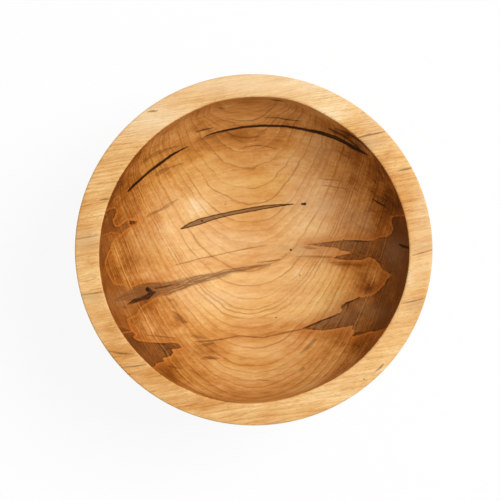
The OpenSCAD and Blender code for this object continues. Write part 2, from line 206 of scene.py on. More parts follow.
# Fine is for X, Y and Z, and the last one given counts for the rest
def noise(where, fine=None, detail=2, rough=0.5):
    if fine:
        where = mapped(where, scale=(*fine, fine[-1], fine[-1])[:3])
    return setNoise(newNode(where.tree, "TexNoise", where), 1, detail, rough)


def stripes(where, fine, detail=2, rough=0.6):
    n = where.tree.nodes.new("ShaderNodeTexNoise")
    n.noise_dimensions = "1D"
    plug(where, n.inputs["W"])
    return setNoise(n, fine, detail, rough)


def toneRamp(value, stops):
    n = newNode(value.tree, "ValToRGB", value)
    elements = n.color_ramp.elements
    while len(elements) < len(stops):
        elements.new(0.5)
    for element, (place, tone) in zip(elements, stops):
        element.position = place
        element.color = (*tone, 1)
    return Signal(n.outputs["Color"])


def mix(share, a, b, blend="MIX"):
    n = newNode(share.tree, "Mix", share)
    n.data_type = "RGBA"
    n.blend_type = blend
    plug(a, n.inputs[6])
    plug(b, n.inputs[7])
    return Signal(n.outputs[2])


def attribute(tree, name, output="Fac"):
    n = tree.nodes.new("ShaderNodeAttribute")
    n.attribute_name = name
    return Signal(n.outputs[output])


def paint(shader, surface, rough, height, depth):
    n = newNode(height.tree, "Bump")
    n.inputs["Strength"].default_value = 1
    n.inputs["Distance"].default_value = depth
    plug(height, n.inputs["Height"])
    for name, value in (("Base Color", surface), ("Roughness", rough), ("Normal", Signal(n.outputs[0]))):
        plug(value, shader.inputs[name])


# Mesh helpers

sharpAngle = 32   # degrees between two faces


def toMesh(name, bm):
    mesh = bpy.data.meshes.new(name)
    bm.to_mesh(mesh)
    bm.free()
    return mesh


def addPiece(name, bm, body, material, slot, *replaced):
    mesh = toMesh(name, bm)
    piece = placed(name, mesh)
    mesh.materials.append(material)
    mesh.shade_smooth()
    mesh.set_sharp_from_angle(angle=math.radians(sharpAngle))
    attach(piece, body)
    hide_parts(*replaced)
    return mesh


# A section in the XZ plane, drawn as one line of edges and then turned round Z
class Section:
    def __init__(self, x, z):
        self.bm = bmesh.new()
        self.first = self.last = self.bm.verts.new((x, 0, z))

    def line(self, x, z, steps=1):
        start = self.last.co.copy()
        for i in range(steps):
            point = self.bm.verts.new(start.lerp(Vector((x, 0, z)), (i + 1) / steps))
            self.bm.edges.new((self.last, point))
            self.last = point

    # round a centre, from +Z towards +X when the angle is positive
    def arc(self, centreX, centreZ, degrees, steps):
        made = bmesh.ops.spin(
            self.bm, geom=[self.last], cent=(centreX, 0, centreZ), axis=(0, 1, 0),
            angle=math.radians(degrees), steps=steps, use_merge=False, use_duplicate=False,
        )
        self.last = next(v for v in made["geom_last"] if isinstance(v, bmesh.types.BMVert))

    def turned(self, steps):
        bm = self.bm
        bmesh.ops.spin(
            bm, geom=bm.verts[:] + bm.edges[:], cent=(0, 0, 0), axis=(0, 0, 1),
            angle=math.tau, steps=steps, use_merge=True,
        )
        bmesh.ops.remove_doubles(bm, verts=bm.verts[:], dist=1e-7)
        bmesh.ops.recalc_face_normals(bm, faces=bm.faces[:])
        return bm


# Wood: a solid figure of growth rings round a pith that runs along the grain

def ringCurve(distance, rings, column):
    low, high = rings[0][0], rings[-1][0]
    end = len(rings) - 1
    n = distance.tree.nodes.new("ShaderNodeFloatCurve")
    points = n.mapping.curves[0].points
    for i, ring in enumerate(rings):
        x = (ring[0] - low) / (high - low)
        y = i / end if column == 0 else ring[column]
        if i in (0, end):
            point = points[0 if i == 0 else -1]
            point.location = (x, y)
        else:
            point = points.new(x, y)
        point.handle_type = "VECTOR"
    n.mapping.update()
    plug(ramp(distance, low, high), n.inputs["Value"])
    return Signal(n.outputs["Value"])


bowl = {
    "wall": 12 * mm,
    "land": 1.4 * mm,          # from the rim down to where the wall's arc starts
    "sweep": 30 * mm,          # radius of the wall's arc
    "rimEdge": 0.9 * mm,
    "lipEdge": 1.4 * mm,       # the mouth's edge is sanded softer
    "floor": 14 * mm,          # wood under the hollow, from the foot
    "footRadius": 39 * mm,
    "footDrawnIn": 1.5 * mm,
    "footEdge": 1.2 * mm,
    "recessRadius": 28.1 * mm,
    "recess": 2 * mm,
    "steps": 448,
    "driedOval": 0.009,        # dried wood is wider along the grain by this share at the rim
    "wanderDepth": 22 * mm,    # how far down the wall the mouth's wander reaches
    "wanderBlur": (-6, -3, 0, 3, 6),   # degrees
    "wallShadeFrom": 0.55,          # share of the mouth's radius where the painted shade on the wall starts
    # How much the tone is deepened in the hollow, on the rim, on the end grain, and on the wall, where it is
    # painted shade
    "shade": {"hollow": 0.10, "rim": 0.025, "wall": 0.14, "endGrain": 0.28},
    "rightEndGrain": 0.65,     # the end grain shows less on the right
}

# The mouth was sanded by hand and is out of round: the angle from +X, and how many mm wider it is there
mouthWander = [
    (0, 0.1), (20, -0.5), (45, -0.6), (58, -0.7), (68, 0), (76, 1), (84, 0.4), (92, -0.1), (104, 0),
    (112, -0.9), (125, -1.4), (150, -1.6), (165, -1.2), (180, -0.6), (195, 0.1), (208, 0.6), (222, 0.4),
    (235, 0.9), (255, 0.9), (270, 0.5), (280, -0.2), (290, -0.9), (300, -0.9), (312, -0.4), (330, -0.3),
    (345, 0.1),
]

maple = {
    "grainTurn": 2.5,          # degrees from X
    "pithAcross": -24.9,       # mm
    "pithHeight": 154.2,
    "pithSlope": -0.02,
    "bendFrom": 88,            # past this far across the grain the rings crowd together
    "bendTo": 106,
    "bend": 6,
    "fibreTurn": 4.5,          # degrees more than the grain
    "nickTurn": 38,            # degrees from the grain, down and outwards
    "tones": (
        (0.00, colour(250, 230, 190)), (0.28, colour(235, 188, 125)), (0.52, colour(208, 144, 78)),
        (0.76, colour(158, 93, 35)), (1.00, colour(90, 46, 12)),
    ),
    "line": colour(132, 76, 32),
    "rimTurn": 5.5,            # degrees more that the grain is turned once it reaches the rim
    "rimFrom": 104,            # mm
    "rimTo": 112,
    "rimLine": 0.5,            # share of the lines' strength left on the rim
}

# Growth rings: distance from the pith in mm, and how dark the line is, 0 to 1
growthRings = [
    (40, 0.3), (43, 0.5), (46, 0.3), (49, 0.6), (52, 0.4), (55, 0.5), (58, 0.3), (61, 0.6), (63.5, 0.4),
    (66, 0.5), (68.5, 0.3), (71, 0.5), (73.4, 0.8), (75, 0.3), (76.5, 0.7), (78.1, 0.4), (79.8, 0.8),
    (81.4, 0.7), (83, 0.3), (84.7, 0.8), (86.6, 0.4), (88.2, 0.4), (90, 0.8), (90.9, 0.8), (91.6, 0.6),
    (93.2, 0.4), (95.2, 0.8), (97.6, 0.9), (99.5, 0.3), (101.2, 0.3), (102.7, 0.6), (103.8, 0.8),
    (106.2, 0.9), (107.8, 0.7), (109.7, 0.9), (111.2, 0.8), (112.4, 0.8), (113.25, 0.8), (114.8, 0.3),
    (116.6, 0.7), (118.5, 0.4), (120.5, 0.6), (122.5, 0.4), (125, 0.6), (128, 0.3),
]

# Marks on the hollow and the rim, drawn in the photograph's pixels: points along the middle of each line,
# with half its width there. Lines of one kind stay well apart: each point of the mesh keeps only the nearest.
# Depth is how dark they are, broken how much they fall apart into threads, edge how dark their outline is.
streaks = {
    "bands": {"tint": "grey", "depth": 0.86, "broken": 0.5, "soft": 1.4, "lines": [
        [(118, 300, 1.5), (134, 295, 5.5), (148, 291, 7.6), (160, 289.5, 6.6), (168, 288.5, 7),
         (174, 287, 5.6), (183, 284, 5.6), (191, 281.5, 4.4), (203, 278.6, 4.4), (215, 276, 3),
         (224, 273.4, 3.3), (233, 271, 2.4), (243, 269, 2.5), (250, 267.5, 1.6), (262, 265.5, 1.3),
         (270, 264, 0.4)],
        [(296, 257, 0.3), (313, 256.5, 0.8), (331, 257, 0.5)],
    ]},
    "cracks": {"tint": "char", "depth": 1, "broken": 0.1, "soft": 0.5, "lines": [
        [(205, 136, 0.4), (214, 132.5, 0.8), (225, 130, 1.1), (243, 126.5, 1.2), (262, 125, 1.3),
         (285, 125.5, 1.2), (303, 128.5, 1.4), (320, 132, 1.9), (335, 137, 1.9), (345, 142, 1.8),
         (353, 147, 2), (360, 150.5, 1.5), (368, 154.5, 0.4)],
        [(128.5, 191.5, 0.7), (134, 185.5, 1.4), (140, 180, 1.3), (150, 171, 1.2), (160, 163.5, 1.5),
         (172, 154.5, 1.3), (188, 146, 0.4)],
        [(398, 244.5, 0.8), (403, 246.5, 1.5), (411, 248.5, 0.9)],
        [(371, 198, 0.4), (377, 202, 0.9), (385, 206.5, 0.3)],
        [(270, 98.5, 0.2), (277, 99, 0.6), (284, 100, 0.2)],
    ]},
    "sideCracks": {"tint": "char", "depth": 0.94, "broken": 0.34, "soft": 0.7, "lines": [
        [(327, 127, 0.4), (334, 130.5, 1.3), (341, 134, 1), (348, 138.5, 1.3), (354, 143.5, 1),
         (359, 149, 0.7)],
        [(335, 127.5, 0.4), (345, 131.5, 1), (354, 136.5, 1.1), (363, 143, 1.3), (369, 150, 0.5)],
        [(303, 328.6, 0.6), (312, 325, 0.9), (322, 320.5, 0.6), (332, 317, 0.8), (339, 313.5, 0.4)],
        [(341, 308.5, 0.3), (346, 303.5, 0.8), (353, 300.5, 0.6), (359, 297.5, 0.3)],
        [(352, 336.5, 0.9), (356, 333.5, 0.8), (362, 333, 0.3)],
        [(345, 240.5, 0.3), (356, 240.8, 0.5), (368, 241.5, 0.3)],
        [(264, 116.5, 0.2), (278, 117, 0.5), (288, 119, 0.6), (302, 120.5, 0.3)],
        [(196, 131.5, 0.3), (204, 129, 0.8), (213, 127, 0.3)],
        [(129, 304.5, 0.6), (135, 301.5, 2.2), (141, 299.5, 1.8), (148, 297, 2.8), (152, 293.5, 2.2),
         (150.5, 290.5, 1.6), (147, 289, 2.4)],
        [(156, 288.5, 0.7), (164, 287, 0.7), (173, 284.5, 0.3)],
    ]},
    "lens": {"tint": "bark", "depth": 0.76, "broken": 0.1, "soft": 0.5, "edge": 0.8, "lines": [
        [(181, 228.8, 0.5), (190, 225, 2.2), (200, 221.5, 2.9), (213, 217.5, 2.3), (230, 213.5, 2),
         (248, 210, 2.1), (265, 207, 1.9), (280, 205.2, 1.1), (293, 204, 0.4)],
    ]},
    "threads": {"tint": "bark", "depth": 0.65, "broken": 0.35, "soft": 0.5, "lines": [
        [(257, 262.8, 0.3), (266, 261.5, 0.7), (274, 260.5, 0.9), (281, 259.5, 0.3)],
        [(176, 265, 0.3), (188, 262, 0.6), (200, 258.5, 0.4), (214, 256, 0.7), (228, 252.5, 0.4),
         (243, 249.5, 0.6), (256, 247, 0.4), (268, 245, 0.2)],
        [(195, 342, 0.4), (208, 341.5, 0.9), (222, 339.5, 0.5), (240, 336, 0.7), (262, 338, 0.6),
         (282, 333.5, 0.9), (302, 329.5, 0.7)],
        [(168, 367, 0.6), (174, 368, 1.1), (183, 369.5, 0.3)],
        [(238, 149.5, 0.3), (246, 146.5, 0.5), (257, 145, 0.6), (268, 146, 0.5), (276, 149, 0.3)],
        [(203, 357, 0.3), (210, 358.5, 0.8), (217, 360, 0.3)],
        [(256, 380, 0.2), (263, 381, 0.5), (271, 381.5, 0.2)],
        [(147, 335.5, 0.3), (162, 337, 0.7), (177, 338.5, 0.3)],
        [(318, 178, 0.2), (328, 179.5, 0.5), (340, 180, 0.2)],
        [(322, 185, 0.2), (333, 186.5, 0.5), (345, 188.5, 0.2)],
        [(217, 106.5, 0.3), (221, 107, 0.8), (226, 107.5, 0.3)],
        [(222, 128.5, 0.2), (229, 133, 0.4), (238, 136.5, 0.5), (248, 137.3, 0.5), (258, 136, 0.4),
         (266, 132, 0.2)],
        [(226, 117.5, 0.2), (238, 120, 0.4), (252, 120, 0.5), (262, 116, 0.5), (270, 109, 0.5),
         (277, 102.5, 0.3)],
    ]},
    "scuffs": {"tint": "bark", "depth": 0.55, "broken": 0.6, "soft": 0.9, "lines": [
        [(148, 216, 1), (154, 213, 1.6), (160, 210, 1.2), (167, 206, 1.7), (178, 199, 0.5)],
        [(195, 142, 0.4), (206, 137, 1.5), (217, 133.5, 1.5), (228, 130.5, 0.5)],
        [(330, 262.5, 0.8), (340, 264, 2.2), (350, 264.5, 1.6), (361, 265.5, 1.4)],
        [(357, 252.5, 0.8), (361, 253.5, 1.7), (365, 254.5, 0.6)],
        [(365, 294, 1.2), (368, 290, 2.6), (373, 287, 1)],
        [(303, 247.5, 0.5), (309, 248, 1.4), (316, 248.5, 0.5)],
        [(191, 336.5, 0.5), (199, 337.5, 1.6), (207, 338.5, 0.6)],
        [(199, 346, 0.5), (207, 345, 1.5), (215, 343, 0.5)],
        [(201, 360, 0.6), (210, 358, 1.8), (219, 359, 0.8)],
        [(173, 312, 1.4), (179, 318, 3), (187, 323, 1.2)],
        [(167.5, 298.5, 0.8), (170, 300, 1.3), (172.5, 301.5, 0.6)],
        [(121, 307, 0.6), (125, 308, 1.4), (129, 308, 0.6)],
        [(372, 194, 0.5), (379, 197, 1.3), (386, 199, 0.5)],
        [(380, 210, 0.5), (388, 213, 1.5), (395, 216, 0.5)],
        [(366, 206, 0.4), (371, 210, 1.1), (377, 213, 0.5)],
        [(300, 354.5, 0.4), (306, 349, 1.4), (311, 344, 2.3), (316, 339.5, 0.8)],
        [(299, 373, 0.5), (302, 370, 1.7), (305, 367.5, 0.6)],
        [(146, 160, 0.8), (156, 153.5, 2.2), (166, 149, 1.8), (177, 146, 0.6)],
        [(156, 175, 1), (162, 171, 2.4), (171, 167, 1.2), (183, 163, 1.2)],
        [(376, 176, 0.4), (382, 180, 1.4), (388, 186, 0.5)],
        [(337, 150, 0.4), (345, 155, 1.2), (354, 158, 0.5)],
        [(388, 196, 0.5), (394, 203, 1.6), (399, 211, 0.6)],
    ]},
    "rimLines": {"tint": "bark", "depth": 0.75, "broken": 0.3, "soft": 0.7, "rim": True, "lines": [
        [(358, 136.5, 0.7), (366, 134, 1.1), (375, 132.5, 0.9), (384, 130.5, 0.4)],
        [(396, 170.5, 0.3), (403, 168.8, 1.2), (410, 167.2, 0.5)],
        [(148, 111, 0.3), (153, 109.8, 1.1), (159, 109.6, 0.4)],
        [(100, 200, 0.3), (105, 199, 1), (110, 198.3, 0.7)],
        [(80, 296, 0.2), (88, 294.6, 0.4), (97, 293.4, 0.6), (104, 292.4, 0.3)],
        [(75, 239.5, 0.2), (88, 237, 0.25), (100, 235, 0.2)],
        [(411, 255.5, 0.4), (420, 253, 0.5), (432, 249.5, 0.3)],
        [(374, 373, 0.4), (379, 369, 1), (383, 364, 0.3)],
        [(361, 380, 0.3), (363, 380.5, 0.9), (365, 381, 0.3)],
        [(122, 368.5, 0.3), (134, 367.5, 0.8), (147, 365.5, 0.4)],
        [(110, 352, 0.2), (122, 354.5, 0.9), (136, 355, 0.3)],
        [(82, 282, 0.15), (90, 281, 0.2), (97, 279, 0.15)],
        [(401, 304, 0.4), (410, 302, 0.7), (422, 299, 0.3)],
    ]},
}

# Stained wood, as outlines. It is rusty for a way past its edge, which is what creep says.
stains = {
    "deepStain": {"tint": "umber", "depth": 0.88, "creep": 12, "outlines": [
        [(416, 213), (403, 216), (391, 217), (391, 223), (393, 229), (390, 234), (386, 237), (379, 237.5),
         (374, 240), (370, 241), (343, 240), (325, 242), (306, 244.2), (318, 246), (330, 247), (337, 248),
         (340, 250.5), (347, 251), (352, 253.5), (342, 255), (333, 257.5), (338, 259.5), (350, 260),
         (361, 260), (368, 257), (374, 259), (379, 264), (381, 269), (391, 275), (386, 280), (383, 286),
         (378, 291), (372, 295.5), (362, 298), (359, 297), (354, 300), (345, 302.5), (340, 306), (342, 310),
         (340, 313.5), (326, 319), (315, 323), (302, 329), (312, 329.8), (323, 331), (337, 328.5),
         (353, 325.5), (351, 330), (355, 331), (352, 337), (360, 335), (370, 331.5), (374, 332), (384, 329),
         (402, 322), (425, 280), (425, 230)],
        [(116, 327), (126, 329), (132, 332), (136.5, 335), (133, 338), (138, 341.5), (152, 343), (165, 343.8),
         (175, 343), (179, 345), (182, 348), (180, 349), (171, 349.5), (174, 353), (171, 357), (163, 358.5),
         (165, 362), (160, 363.5), (156, 364.5), (156, 367), (150, 369), (135, 362), (112, 340)],
    ]},
    "paleStain": {"tint": "umber", "depth": 0.62, "creep": 7, "outlines": [
        [(88, 244), (92, 218), (105, 213), (112, 209), (116, 208), (117.5, 211), (115, 217), (113, 220),
         (115, 226), (118, 227), (122, 225.5), (127, 221), (131, 219.5), (139.5, 220.5), (137, 225),
         (131, 226.5), (126, 229), (121, 235), (112, 233.5), (102, 238)],
    ]},
    "bandStain": {"tint": "russet", "depth": 0.4, "creep": 10, "outlines": [
        [(88, 244), (102, 238), (112, 233.5), (121, 235), (116, 238), (113, 243), (110, 250), (107, 257),
         (105, 264), (108, 273), (112, 281), (116, 285), (124, 286.5), (129, 288.5), (135, 287), (140, 284.5),
         (148, 283), (160, 282), (163, 290), (158, 296.5), (152, 300), (146, 304), (141, 307), (139, 311),
         (137, 314.5), (133, 317), (127, 319), (129, 325), (132, 331), (122, 333), (100, 320), (88, 270)],
    ]},
    "knotStain": {"tint": "char", "depth": 0.85, "creep": 3, "outlines": [
        [(130, 221), (134, 220.5), (138, 221.5), (135, 224), (131, 224.5)],
    ]},
}

# Where beetles bored: pixel and radius
pinholes = [
    (148, 289.5, 2), (304.5, 203.8, 1.6), (302, 204, 1.2), (290.6, 250, 1.1), (299.7, 275.4, 0.9),
    (202, 220.8, 1.1), (276, 318, 0.8), (225.5, 204.3, 0.7), (356, 144, 1),
]

# Soft places in pixels: middle, half width and height, how much darker, greyer, more golden or creamier.
# Among the darker places, those on the wall below the rim are painted shade, and the negative ones in the
# hollow are partly a painted glare and sheen; the creamier places in the hollow are partly painted sheen as
# well.
toneAndPaintedLightPlaces = [
    (197, 207, 12, 11, -0.22), (196, 222, 36, 26, -0.08), (143, 160, 20, 14, 0.1), (120, 186, 12, 16, 0.12),
    (126, 230, 16, 16, 0.1), (232, 137, 44, 16, 0.22), (192, 151, 20, 9, 0.12), (212, 112, 34, 9, -0.08),
    (290, 128, 24, 20, 0.07), (356, 128, 24, 16, 0.14), (352, 160, 24, 16, 0.08), (298, 222, 30, 18, -0.14),
    (318, 190, 9, 14, -0.1), (384, 168, 12, 20, 0.15), (402, 204, 12, 20, 0.16), (382, 213, 20, 34, 0.08),
    (347, 135, 10, 6, 0.22), (359, 145, 9, 8, 0.28), (148, 196, 7, 10, -0.12), (168, 227, 8, 14, -0.12),
    (116, 262, 9, 18, -0.18), (354, 272, 22, 22, 0.08), (378, 308, 12, 22, 0.14), (236, 264, 50, 8, 0.15),
    (322, 259, 34, 6, 0.1), (146, 293, 12, 7, 0.14), (170, 284, 24, 10, 0.1), (155, 302, 24, 8, 0.18),
    (232, 297, 34, 12, -0.08), (122, 301, 12, 13, -0.26), (143, 274, 20, 8, -0.12), (142, 328, 12, 9, -0.1),
    (178, 320, 12, 8, 0.16), (255, 330, 76, 12, 0.16), (208, 346, 24, 14, 0.18), (268, 356, 22, 9, -0.06),
    (318, 390, 24, 9, -0.14), (356, 346, 16, 16, 0.1), (84, 225, 10, 30, 0.08), (424, 240, 12, 50, 0.05),
    (112, 335, 24, 44, 0.12), (168, 380, 26, 18, 0.18), (420, 290, 14, 40, 0.1), (196, 408, 34, 12, 0.12),
    (150, 120, 34, 20, -0.16), (330, 110, 26, 12, -0.12), (323, 140, 18, 9, -0.12), (379, 139, 10, 8, 0.12),
    (126, 358, 14, 10, 0.12), (364, 178, 22, 20, 0.06), (368.5, 290, 6, 5.5, 0.32),
    (354, 264.5, 10, 3.5, 0.16),
]
greyer = [
    (318, 150, 16, 14, 0.35), (325, 206, 12, 7, 0.4), (414, 306, 10, 8, 0.4), (370, 143, 12, 6, 0.5),
    (88, 240, 12, 10, 0.5), (92, 298, 12, 5, 0.5), (300, 250, 30, 8, 0.4), (345, 300, 22, 10, 0.3),
    (374, 313, 16, 6, 0.6), (352, 246, 16, 4, 0.4), (397, 256, 8, 18, 0.6), (392, 250, 9, 10, 0.9),
    (421, 246, 13, 2, 0.5), (338, 319, 16, 9, 0.8), (120, 299, 10, 8, 0.3), (150, 250, 16, 22, 0.25),
]
golden = [
    (205, 165, 40, 26, 0.8), (262, 178, 18, 16, 0.8), (140, 262, 16, 22, 0.4), (262, 306, 40, 18, 0.2),
    (240, 372, 50, 12, 0.4), (330, 285, 26, 20, 0.4), (138, 166, 26, 22, 0.6), (114, 262, 10, 20, 0.6),
    (392, 200, 14, 40, 0.7), (340, 128, 16, 8, 0.7),
]
creamyRim = [
    (250, 82, 90, 12, 0.9), (150, 116, 40, 24, 0.8), (424, 215, 14, 60, 0.4), (376, 126, 26, 18, 0.3),
]
# paler, creamy places in the hollow; some of them are painted sheen and highlight on the floor and the left
# side
paleAndSheenHollow = [
    (306, 202, 38, 32, 0.34), (362, 222, 24, 16, 0.2), (226, 240, 30, 10, 0.3), (225, 298, 40, 12, 0.35),
    (140, 274, 22, 10, 0.3),
]

tints = {
    "char": colour(40, 18, 4),
    "bark": colour(104, 60, 30),
    "grey": colour(122, 80, 45),
    "umber": colour(92, 53, 24),
    "russet": colour(122, 74, 38),
    "greyWood": colour(150, 108, 70),
    "cloud": colour(186, 152, 112),
    "creamAndSheen": colour(242, 218, 180),
    "rust": colour(218, 136, 62),
    "rustWood": colour(176, 98, 34),
    "gold": (1.0, 0.98, 0.77),   # multiplied in
}

# Noise in the wood: how fine it is along and across the grain, its detail and its roughness
woodNoise = {
    "wander": ((0.016, 0.04), 1),
    "ripple": ((0.08, 0.14), 2),
    "broken": ((0.03, 0.09), 2),
    "stainEdge": ((0.35, 1.1), 3, 0.65),
    "streakEdge": ((0.5, 1.5), 2),
    "broad": ((0.012, 0.03), 3, 0.6),
    "fibre": ((0.03, 0.75), 4, 0.6),
    "mottle": ((0.16, 0.35), 3, 0.6),
    "fleck": ((0.45, 1.9), 2),
    "blotch": ((0.06, 0.1), 3, 0.6),
    "strands": ((0.045, 0.7), 3, 0.6),
    "hairs": ((0.11, 1.7), 3, 0.6),
    "chatter": ((0.45, 0.14), 2),
    "nicks": ((0.16, 1.3, 0.2), 3, 0.65),
    "hue": ((0.02, 0.035), 2),
}


def grown(where, name):
    return noise(where, *woodNoise[name])


# The growth rings round the pith: the way along the grain, the ring's distance, and each year's dark line
def growthFigure(tree, wood, rings, marked):
    grain = millimetres(tree, -wood["grainTurn"], (0, -wood["pithAcross"], -wood["pithHeight"]))
    along, across, up = split(grain)
    rimward = fade(up, wood["rimFrom"] - wood["pithHeight"], wood["rimTo"] - wood["pithHeight"])
    across = addTo(across, along, rimward * -math.tan(math.radians(wood["rimTurn"])))
    grain = join(along, across, up)
    up = addTo(up, along, -wood["pithSlope"])
    length = newNode(tree, "VectorMath", join(0, across, up))
    length.operation = "LENGTH"
    crowd = ramp(across, wood["bendFrom"], wood["bendTo"])
    distance = addTo(Signal(length.outputs["Value"]), crowd ** 2, wood["bend"])

    # the rings wander a little, slowly along the grain
    wander, ripple = grown(grain, "wander"), grown(grain, "ripple")
    distance = distance + swing(wander, 0.8, 0, 1) + swing(ripple, 0.55, 0, 1)

    step, slowest = 0.2, 0.15   # mm, and years in a mm
    year = ringCurve(distance, rings, 0) * (len(rings) - 1)
    later = ringCurve(distance + step, rings, 0) * (len(rings) - 1)
    yearsPerMm = calc("MAXIMUM", (later - year) / step, slowest)
    pastLine = (year - calc("ROUND", year)) / yearsPerMm
    if marked:
        # where the surface runs almost along a ring, its line would smear out
        pastLine /= attribute(tree, "ringSlope")
    # each line is sharp on its outer side and fades towards the year that made it
    line = fade(pastLine, -1, -0.05) * fall(pastLine, 0, 0.4)
    broken = grown(grain, "broken")
    strength = ringCurve(distance, rings, 1) * fade(broken, 0.3, 0.7, 0.3, 1)
    strength *= ramp(rimward, 0, 1, 1, wood["rimLine"])
    return {
        "grain": grain,
        "rimward": rimward,
        "distance": distance,
        "line": line * strength,
        "season": calc("FRACT", year) ** 2,
    }


def stainWood(tree, figure, surface):
    torn = swing(grown(figure["grain"], "stainEdge"), 1.6, 0, 1)
    for key, stain in stains.items():
        depth = stain["depth"]
        edge = attribute(tree, key) + torn
        # rust has crept out past the edge, and a bright line stands along it
        surface = mix(fall(edge, 0, stain["creep"]) * (0.55 * depth), surface, tints["rustWood"])
        bright = fade(edge, 0.1, 0.9) * fall(edge, 1, 2.2)
        surface = mix(bright * figure["rusty"], surface, tints["rust"])
        inside = fall(edge, -0.6, 0.5)
        share = calc("MULTIPLY", inside * figure["streaky"], depth, clamp=True)
        surface = mix(share, surface, tints[stain["tint"]])
        outlined = fade(edge, -1.8, -0.5) * fall(edge, -0.4, 0.3)
        surface = mix(outlined * (figure["rusty"] * depth), surface, tints["char"])
        worn = inside * addTo(figure["worn"], figure["greyed"], 0.5)
        surface = mix(worn * depth, surface, tints["greyWood"])
    return surface


def streakWood(tree, figure, surface, height):
    torn = swing(grown(figure["grain"], "streakEdge"), 0.45, 0, 1)
    for key, streak in streaks.items():
        side, half, along = split(attribute(tree, key, "Vector"))
        edge = abs(side) - half + torn
        share = fall(edge, -streak["soft"], streak["soft"])
        threads = noise(join(side * 0.8, along * 0.7, 0))
        share = share * streak["depth"] * fade(threads, 0.36, 0.56, 1 - streak["broken"], 1)
        surface = mix(share, surface, tints[streak["tint"]])
        if "edge" in streak:
            outline = fade(edge, -1.3, -0.5) * fall(edge, -0.2, 0.5)
            surface = mix(outline * streak["edge"], surface, tints["char"])
        height = addTo(height, share, -1.5)
    holes = fall(attribute(tree, "pinholes"), -0.5, 0.5)
    surface = mix(holes * 0.95, surface, tints["char"])
    return surface, addTo(height, holes, -5)


def mapleWood(name, wood, rings, marked):
    mat, tree, shader = newMaterial(name)
    figure = growthFigure(tree, wood, rings, marked)
    grain, distance, rimward = figure["grain"], figure["distance"], figure["rimward"]
    bands = stripes(distance, 0.21)
    broad = grown(grain, "broad")
    tilted = mapped(grain, -wood["fibreTurn"])
    fibre = grown(tilted, "fibre")
    mottle = grown(grain, "mottle")
    fleck = grown(tilted, "fleck")
    fineBands = stripes(distance + mottle, 1.3, rough=0.65)
    blotch = grown(grain, "blotch")
    strands = grown(tilted, "strands")
    streaky = ramp(fineBands, 0.36, 0.64, 0.64, 1.12) * fade(strands, 0.35, 0.65, 0.76, 1.12)
    figure["streaky"] = streaky * fade(blotch, 0.35, 0.6, 0.74, 1.08)
    figure["worn"] = fade(strands, 0.48, 0.7, 0, 0.45) * fade(mottle, 0.4, 0.6)
    figure["rusty"] = fade(blotch, 0.3, 0.65, 0.14, 0.5)

    tone = ramp(broad, 0.3, 0.7, 0.14, 0.38) + swing(bands, 0.05)
    tone = addTo(tone, figure["season"], 0.05) + swing(fibre, 0.05) + swing(mottle, 0.05)
    lively, speckled = 0.05, 0.22
    if marked:
        # the shade attribute deepens the wood's tone, and it also carries painted shade on the wall and
        # painted glare and sheen in the hollow
        patchy = ramp(blotch, 0.3, 0.7, 0.75, 1.25)
        tone = addTo(tone, attribute(tree, "shade"), patchy)
        hairs = grown(tilted, "hairs")
        tone += rimward * swing(hairs, 0.08)
        endGrain = attribute(tree, "endGrain")
        chatter = grown(grain, "chatter")
        lively = ramp(endGrain, 0, 1, 0.04, 0.17) * fade(chatter, 0.35, 0.65, 0.4, 1.4)
        # the gouge tore the end grain in short nicks that slant, the other way on each side
        along, across, up = split(grain)
        slanted = mapped(join(abs(along), across, up), wood["nickTurn"])
        nicks = grown(slanted, "nicks")
        nicks = fade(nicks, 0.52, 0.7) * fade(blotch, 0.35, 0.6)
        tone = addTo(tone, endGrain, nicks * fade(along, -30, 30, 0.12, 0.55))
    tone = addTo(tone, ramp(fineBands, 0.3, 0.7, -0.7, 1), lively)
    surface = toneRamp(tone, wood["tones"])
    surface = mix(figure["line"] * 0.62, surface, wood["line"])
    if marked:
        speckled = addTo(0.18, calc("MAXIMUM", endGrain, rimward), 0.16)
    surface = mix(fade(fleck, 0.5, 0.78) * speckled, surface, wood["line"])

    gilded = fade(grown(grain, "hue"), 0.4, 0.6, 0, 0.55)
    if marked:
        spots = attribute(tree, "gilded")
        gilded = calc("ADD", gilded, spots, clamp=True)
        figure["greyed"] = attribute(tree, "greyed") * fade(strands, 0.3, 0.6, 0.4, 1)
        surface = mix(figure["greyed"], surface, tints["cloud"])
        # where the spots go negative the surface turns cream: paler wood on the rim, and partly painted sheen
        # and highlight in the hollow
        surface = mix(ramp(spots, 0, -1, 0, 0.5), surface, tints["creamAndSheen"])
    gilded *= ramp(rimward, 0, 1, 1, 0.25)
    surface = mix(gilded, surface, tints["gold"], "MULTIPLY")

    height = addTo(figure["line"] * -0.4, fibre, 0.6)
    if marked:
        surface = stainWood(tree, figure, surface)
        surface, height = streakWood(tree, figure, surface, height)
    paint(shader, surface, ramp(fibre, 0.2, 0.8, 0.50, 0.62), height, 0.06 * mm)
    shader.inputs["Specular IOR Level"].default_value = 0.12
    return mat


# For each pixel: distance from a line, the same measured to its side, and how far along the line, in points
def offLine(pixels, points):
    far = 1e9
    best = np.full(len(pixels), far)
    side = np.zeros(len(pixels))
    along = np.zeros(len(pixels))
    last = len(points) - 2
    for i, (a, b) in enumerate(zip(points[:-1], points[1:])):
        step = b - a
        length = np.hypot(*step)
        raw = (pixels - a) @ step / length ** 2
        share = np.clip(raw, -far if i == 0 else 0, far if i == last else 1)
        away = pixels - a - share[:, None] * step
        distance = np.hypot(*(pixels - a - np.clip(raw, 0, 1)[:, None] * step).T)
        nearer = distance < best
        best[nearer] = distance[nearer]
        side[nearer] = ((step[0] * away[:, 1] - step[1] * away[:, 0]) / length)[nearer]
        along[nearer] = i + share[nearer]
    return best, side, along


